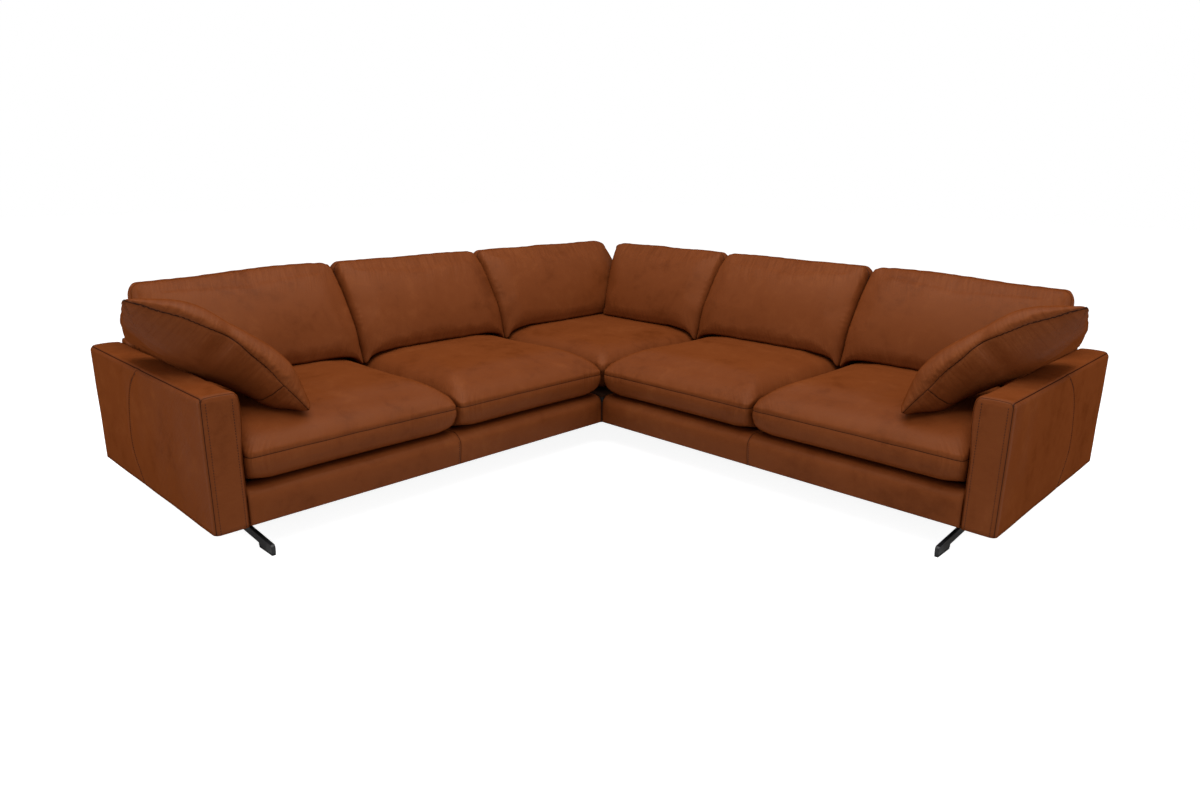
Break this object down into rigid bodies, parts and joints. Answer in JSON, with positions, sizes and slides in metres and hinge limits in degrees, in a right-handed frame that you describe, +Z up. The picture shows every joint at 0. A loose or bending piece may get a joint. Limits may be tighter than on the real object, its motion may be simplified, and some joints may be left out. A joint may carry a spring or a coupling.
{
  "type": "sectional sofa",
  "caption": "L-shaped leather corner sofa with loose seat and back cushions, big scatter cushions leaning over slim arms, and blade legs; its sections pull apart.",
  "frame": {"origin": "on the floor, under the middle of the sofa's outline box", "axes": "+Z up; the right wing runs along +X and faces -Y, the left wing runs along -Y and faces +X, and the corner is at -X +Y"},
  "size_m": [2.9892, 2.9892, 0.8647],
  "materials": {
    "leather": "satin",
    "lining": "matte",
    "webbing": "matte",
    "timber": "raw",
    "black_metal": "satin",
    "toe_pad": "matte",
    "black_plastic": "matte",
    "link_steel": "zinc plated"
  },
  "bodies": {
    "corner_unit": {"corner_back_frame": "timber", "corner_base_frame": "timber", "corner_dust_cover": "lining", "corner_feet": "black_plastic", "corner_left_lining": "lining", "corner_rear_back_cover": "leather", "corner_right_lining": "lining", "corner_screws": "link_steel", "corner_seat_deck": "lining", "corner_side_back_cover": "leather", "corner_webbing": "webbing", "link_clips": "link_steel"},
    "left_unit": {"left_arm_cover": "leather", "left_arm_frame": "timber", "left_back_cover": "leather", "left_back_frame": "timber", "left_base_frame": "timber", "left_dust_cover": "lining", "left_front_rail_cover": "leather", "left_leg_front_blade": "black_metal", "left_leg_plate": "black_metal", "left_leg_rear_blade": "black_metal", "left_link_tongues": "link_steel", "left_screws": "link_steel", "left_seat_deck": "lining", "left_side_lining": "lining", "left_support_feet": "black_plastic", "left_toe_pads": "toe_pad", "left_webbing": "webbing"},
    "right_unit": {"right_arm_cover": "leather", "right_arm_frame": "timber", "right_back_cover": "leather", "right_back_frame": "timber", "right_base_frame": "timber", "right_dust_cover": "lining", "right_front_rail_cover": "leather", "right_leg_front_blade": "black_metal", "right_leg_plate": "black_metal", "right_leg_rear_blade": "black_metal", "right_link_tongues": "link_steel", "right_screws": "link_steel", "right_seat_deck": "lining", "right_side_lining": "lining", "right_support_feet": "black_plastic", "right_toe_pads": "toe_pad", "right_webbing": "webbing"},
    "corner_seat_cushion": {"corner_seat_cushion": "leather"},
    "left_corner_back_cushion": {"left_corner_back_cushion": "leather"},
    "left_end_back_cushion": {"left_end_back_cushion": "leather"},
    "left_end_seat_cushion": {"left_end_seat_cushion": "leather"},
    "left_mid_back_cushion": {"left_mid_back_cushion": "leather"},
    "left_mid_seat_cushion": {"left_mid_seat_cushion": "leather"},
    "left_scatter_cushion": {"left_scatter_cushion": "leather"},
    "right_corner_back_cushion": {"right_corner_back_cushion": "leather"},
    "right_end_back_cushion": {"right_end_back_cushion": "leather"},
    "right_end_seat_cushion": {"right_end_seat_cushion": "leather"},
    "right_mid_back_cushion": {"right_mid_back_cushion": "leather"},
    "right_mid_seat_cushion": {"right_mid_seat_cushion": "leather"},
    "right_scatter_cushion": {"right_scatter_cushion": "leather"}
  },
  "joints": [
    {"name": "left_section_pull", "type": "slide", "parent": "corner_unit", "child": "left_unit", "axis": [0, -1, 0], "range_m": [0, 0.3]},
    {"name": "right_section_pull", "type": "slide", "parent": "corner_unit", "child": "right_unit", "axis": [1, 0, 0], "range_m": [0, 0.3]},
    {"name": "left_mid_seat_lift", "type": "slide", "parent": "left_unit", "child": "left_mid_seat_cushion", "axis": [0, 0, 1], "range_m": [0, 0.25]},
    {"name": "left_mid_back_lift", "type": "slide", "parent": "left_mid_seat_cushion", "child": "left_mid_back_cushion", "axis": [0, 0, 1], "range_m": [0, 0.45]},
    {"name": "left_end_seat_lift", "type": "slide", "parent": "left_unit", "child": "left_end_seat_cushion", "axis": [0, 0, 1], "range_m": [0, 0.25]},
    {"name": "left_end_back_lift", "type": "slide", "parent": "left_end_seat_cushion", "child": "left_end_back_cushion", "axis": [0, 0, 1], "range_m": [0, 0.45]},
    {"name": "left_scatter_lift", "type": "slide", "parent": "left_end_back_cushion", "child": "left_scatter_cushion", "axis": [0, 0, 1], "range_m": [0, 0.35]},
    {"name": "right_mid_seat_lift", "type": "slide", "parent": "right_unit", "child": "right_mid_seat_cushion", "axis": [0, 0, 1], "range_m": [0, 0.25]},
    {"name": "right_mid_back_lift", "type": "slide", "parent": "right_mid_seat_cushion", "child": "right_mid_back_cushion", "axis": [0, 0, 1], "range_m": [0, 0.45]},
    {"name": "right_end_seat_lift", "type": "slide", "parent": "right_unit", "child": "right_end_seat_cushion", "axis": [0, 0, 1], "range_m": [0, 0.25]},
    {"name": "right_end_back_lift", "type": "slide", "parent": "right_end_seat_cushion", "child": "right_end_back_cushion", "axis": [0, 0, 1], "range_m": [0, 0.45]},
    {"name": "right_scatter_lift", "type": "slide", "parent": "right_end_back_cushion", "child": "right_scatter_cushion", "axis": [0, 0, 1], "range_m": [0, 0.35]},
    {"name": "corner_seat_lift", "type": "slide", "parent": "corner_unit", "child": "corner_seat_cushion", "axis": [0, 0, 1], "range_m": [0, 0.25]},
    {"name": "left_corner_back_lift", "type": "slide", "parent": "corner_seat_cushion", "child": "left_corner_back_cushion", "axis": [0, 0, 1], "range_m": [0, 0.45]},
    {"name": "right_corner_back_lift", "type": "slide", "parent": "left_corner_back_cushion", "child": "right_corner_back_cushion", "axis": [0, 0, 1], "range_m": [0, 0.45]}
  ]
}
